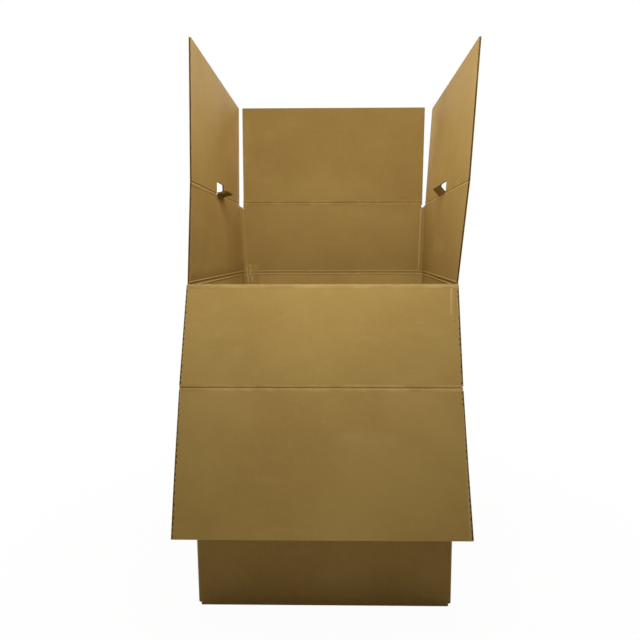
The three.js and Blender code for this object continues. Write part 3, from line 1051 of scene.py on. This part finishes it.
def build_corner_ridges():
    ridges = []
    turned = panel_place.to_3x3()
    inward = turned @ Vector((0, 0, 1))
    for name, place, lean, length, half, paper in (
        ("soft_ridge", (0.0125, 0.048), (0.03, 1.0), 0.078, 4.4 * MM, KRAFT_LINER),
        ("upright_ridge", (0.0185, 0.040), (0.05, 1.0), 0.062, 2.0 * MM, KRAFT_HIGHLIGHT),
        ("flat_ridge", (0.028, 0.0075), (1.0, 0.06), 0.030, 1.2 * MM, KRAFT_HIGHLIGHT),
    ):
        along = (turned @ Vector((*lean, 0))).normalized()
        ridge = half_bead(name, length, RIDGE_RISE, half, RIDGE_SEED)
        middle = panel_place @ Vector((*place, BOARD - RIDGE_SINK))
        lay_bead(ridge, middle, inward, along, paper)
        ridges.append(ridge)
    piece = join("panel_corner_ridges", ridges)
    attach(piece, "drop_panel")


build_corner_ridges()


# The liner is crumpled where the score runs into the glued corner


CRUMPLE_WIDE = 52 * MM
CRUMPLE_TALL = 75 * MM
CRUMPLE_PLACE = (-0.2765, WALL_INNER - 0.1 * MM, 0.778)
CRUMPLE_GRID = (26, 16)
CRUMPLE_ROUGH = 0.12
CRUMPLE_SUNK = -0.3 * MM
STREAK_HALF = 2.1 * MM
STREAK_CREST = 1.5 * MM

# Each streak's place across the patch in metres, its height in millimetres and its lean
STREAKS = [
    (-0.021, 2.6, 0.05), (-0.0155, 3.0, -0.03), (-0.009, 2.1, 0.08),
    (-0.003, 2.7, -0.08), (0.005, 2.0, 0.18),
]


def build_crumple():
    columns, rows = CRUMPLE_GRID
    bpy.ops.mesh.primitive_grid_add(x_subdivisions=columns, y_subdivisions=rows, size=1)
    patch = active()
    patch.name = "crumpled_liner"
    patch.scale = (CRUMPLE_WIDE, CRUMPLE_TALL, 1)
    apply_place(patch)
    open_edit(patch)
    mesh = bmesh.from_edit_mesh(patch.data)
    chance = random.Random(CRUMPLE_SEED)
    for vertex in mesh.verts:
        x, y = vertex.co.x, vertex.co.y
        across = 2 * abs(x) / CRUMPLE_WIDE
        along = 2 * abs(y) / CRUMPLE_TALL
        fade = max(0.0, 1 - across ** 4) * max(0.0, 1 - along ** 4)
        rise = 0.0
        for middle, high, lean in STREAKS:
            away = (x - middle - lean * y) / STREAK_HALF
            rise += high * math.exp(-away * away)
        rough = chance.uniform(-CRUMPLE_ROUGH, CRUMPLE_ROUGH)
        vertex.co.z = (rise + rough) * fade * MM
        if abs(x) > CRUMPLE_WIDE / 2 - MM or abs(y) > CRUMPLE_TALL / 2 - MM:
            vertex.co.z = CRUMPLE_SUNK
    bmesh.update_edit_mesh(patch.data)
    close_edit()
    patch.data.materials.append(KRAFT_LINER)
    # The crests of the streaks get a painted highlight
    give_paper(patch, KRAFT_HIGHLIGHT, lambda face: face.center.z > STREAK_CREST)
    apply_modifier(patch, "SOLIDIFY", thickness=0.4 * MM, offset=-1)
    apply_modifier(patch, "SUBSURF", levels=1, render_levels=1)
    turned = Matrix(((1, 0, 0), (0, 0, -1), (0, 1, 0))).to_4x4()
    patch.matrix_world = Matrix.Translation(CRUMPLE_PLACE) @ turned
    apply_place(patch)
    bpy.ops.object.shade_smooth()
    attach(patch, "body")


build_crumple()


# Beside the two back corners the board rolls forward in a soft upright bead above the fold


CORNER_FOOT = 0.792
CORNER_HEAD = 1.004
CORNER_CUTS = (0.06, 0.25, 0.45, 0.62, 0.8, 0.94)
CORNER_SINK = 0.2 * MM
SIDE_PULL = {-1: LEFT_PULL_BACK, 1: RIGHT_PULL_BACK}

# Faces of a roll that look further forward than this get a painted highlight; with NO_CROWN none do
HIGHLIGHT_CROWN = -0.86
NO_CROWN = -2


def build_corner_roll(name, side, away, rise, half, crown):
    tall = CORNER_HEAD - CORNER_FOOT
    bpy.ops.mesh.primitive_cylinder_add(
        vertices=16, radius=1, depth=tall, location=(0, 0, (CORNER_HEAD + CORNER_FOOT) / 2)
    )
    roll = active()
    roll.name = name
    roll.scale = (half, rise, 1)
    apply_place(roll)
    open_edit(roll)
    keep_half((0, 1, 0))
    for share in CORNER_CUTS:
        cut((0, 0, CORNER_FOOT + share * tall), (0, 0, 1))
    mesh = bmesh.from_edit_mesh(roll.data)
    for vertex in mesh.verts:
        share = (vertex.co.z - FOLD_HEIGHT) / (SIDE_TOP - FOLD_HEIGHT)
        if min(vertex.co.z - CORNER_FOOT, CORNER_HEAD - vertex.co.z) < MM:
            vertex.co.x *= 0.5
            vertex.co.y *= 0.2
        vertex.co.x += side * (WALL_INNER - away) + share * SIDE_PULL[side]
        vertex.co.y += WALL_INNER + CORNER_SINK
    bmesh.update_edit_mesh(roll.data)
    close_edit()
    roll.data.materials.append(KRAFT_LINER)
    give_paper(roll, KRAFT_HIGHLIGHT, lambda face: face.normal.y < crown)
    smooth(roll, SMOOTH_ROUND)
    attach(roll, "body")


build_corner_roll(
    "right_corner_roll", 1, away=12 * MM, rise=3.2 * MM, half=4.2 * MM, crown=HIGHLIGHT_CROWN
)
build_corner_roll(
    "left_corner_roll", -1, away=7.5 * MM, rise=1.3 * MM, half=4.5 * MM, crown=NO_CROWN
)

# The bottom tape keeps its solid and gets its film
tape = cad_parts["bottom_tape"]
tape.data.materials.clear()
tape.data.materials.append(KRAFT_TAPE)


# Floor, light and camera


FLOOR_SIZE = 8
FLOOR_DROP = 0.5 * MM
FLOOR_TONE = (0.86, 0.82, 0.76, 1)
FLOOR_ROUGHNESS = 0.9
WHITE = (1, 1, 1, 1)
SKY_TONE = (1.0, 0.86, 0.68, 1)
SKY_STRENGTH = 0.12

# The floor glows this much near the box, and fully from the far distance on
NEAR_GLOW = 0.97
GLOW_NEAR = 0.4
GLOW_FAR = 1.25


def any_ray(tree, kinds):
    path = tree.nodes.new("ShaderNodeLightPath")
    seen = path.outputs[kinds[0]]
    for kind in kinds[1:]:
        seen = math_node(tree, "MAXIMUM", seen, path.outputs[kind])
    return seen


def white_stage():
    made, tree, shader, place = material("studio_floor")
    shader.inputs["Base Color"].default_value = FLOOR_TONE
    shader.inputs["Roughness"].default_value = FLOOR_ROUGHNESS
    glow = tree.nodes.new("ShaderNodeEmission")
    glow.inputs["Color"].default_value = WHITE
    glow.inputs["Strength"].default_value = 1.0
    seen = any_ray(tree, ("Is Camera Ray", "Is Glossy Ray", "Is Transmission Ray"))
    length = tree.nodes.new("ShaderNodeVectorMath")
    length.operation = "LENGTH"
    tree.links.new(place, length.inputs[0])
    far = ramp_between(tree, length.outputs["Value"], GLOW_NEAR, GLOW_FAR)
    added = math_node(tree, "MULTIPLY", far, 1 - NEAR_GLOW)
    share = math_node(tree, "ADD", added, NEAR_GLOW)
    share = math_node(tree, "MULTIPLY", share, seen)
    mix = tree.nodes.new("ShaderNodeMixShader")
    tree.links.new(share, mix.inputs[0])
    tree.links.new(shader.outputs[0], mix.inputs[1])
    tree.links.new(glow.outputs[0], mix.inputs[2])
    output = [n for n in tree.nodes if n.type == "OUTPUT_MATERIAL"][0]
    tree.links.new(mix.outputs[0], output.inputs["Surface"])
    return made


bpy.ops.mesh.primitive_plane_add(size=FLOOR_SIZE, location=(0, 0, -FLOOR_DROP))
floor = active()
floor.name = "studio_floor"
floor.data.materials.append(white_stage())
apply_place(floor)


def background(tree, colour, strength):
    node = tree.nodes.new("ShaderNodeBackground")
    node.inputs["Color"].default_value = colour
    node.inputs["Strength"].default_value = strength
    return node.outputs[0]


# The camera sees white, and the box is lit by a warm, dim sky
def studio_world():
    world = bpy.data.worlds.new("studio_world")
    world.use_nodes = True
    tree = world.node_tree
    tree.nodes.clear()
    seen = any_ray(tree, ("Is Camera Ray", "Is Transmission Ray"))
    mix = tree.nodes.new("ShaderNodeMixShader")
    output = tree.nodes.new("ShaderNodeOutputWorld")
    tree.links.new(seen, mix.inputs[0])
    tree.links.new(background(tree, SKY_TONE, SKY_STRENGTH), mix.inputs[1])
    tree.links.new(background(tree, WHITE, 1.0), mix.inputs[2])
    tree.links.new(mix.outputs[0], output.inputs["Surface"])
    return world


bpy.context.scene.world = studio_world()

# Each lamp's place, what it points at, its size, power and colour, and its spread in degrees
LAMPS = {
    "key_lamp": ((0.04, -0.86, 1.64), (0, -0.2, 0.82), 0.55, 6.0, (1.0, 0.985, 0.94), 120),
    "left_lamp": ((-0.9, 0.27, 1.9), (0.3, -0.05, 1.1), 0.6, 12.4, (1.0, 0.92, 0.81), 180),
    "right_lamp": ((0.9, 0.27, 1.9), (-0.3, -0.05, 1.1), 0.6, 9.6, (1.0, 0.92, 0.81), 180),
    "back_lamp": ((0.2, 2.3, 1.7), (0, 0.2, 0.6), 1.2, 26, (1.0, 0.98, 0.94), 180),
    "low_lamp": ((0, -1.1, 0.06), (0, -0.307, 0.13), 0.3, 0.03, (1.0, 0.93, 0.84), 40),
}

for name, (place, target, size, power, colour, spread) in LAMPS.items():
    data = bpy.data.lights.new(name, "AREA")
    data.shape = "SQUARE"
    data.size = size
    data.energy = power
    data.spread = math.radians(spread)
    data.color = colour
    lamp = bpy.data.objects.new(name, data)
    bpy.context.scene.collection.objects.link(lamp)
    lamp.location = place
    facing = Vector(target) - Vector(place)
    lamp.rotation_euler = facing.to_track_quat("-Z", "Y").to_euler()

CAMERA_PLACE = Vector((0.07239, -1.49878, 0.86499))
CAMERA_YAW = 0.0138175
CAMERA_PITCH = 0.1198598
CAMERA_ROLL = -0.0016143
IMAGE_SIZE = 640
FOCAL_PIXELS = 528.50
PRINCIPAL_X = 346.969
PRINCIPAL_Y = 312.390
SENSOR = 36

camera_data = bpy.data.cameras.new("photo_camera")
camera_data.sensor_width = SENSOR
camera_data.lens = FOCAL_PIXELS / IMAGE_SIZE * SENSOR
camera_data.shift_x = (IMAGE_SIZE / 2 - PRINCIPAL_X) / IMAGE_SIZE
camera_data.shift_y = (PRINCIPAL_Y - IMAGE_SIZE / 2) / IMAGE_SIZE
camera_data.clip_start = 0.05
camera = bpy.data.objects.new("photo_camera", camera_data)
bpy.context.scene.collection.objects.link(camera)
camera.matrix_world = (
    Matrix.Translation(CAMERA_PLACE)
    @ Matrix.Rotation(CAMERA_YAW, 4, "Z")
    @ Matrix.Rotation(math.radians(90) - CAMERA_PITCH, 4, "X")
    @ Matrix.Rotation(CAMERA_ROLL, 4, "Z")
)
bpy.context.scene.camera = camera
bpy.context.scene.view_settings.view_transform = "Standard"
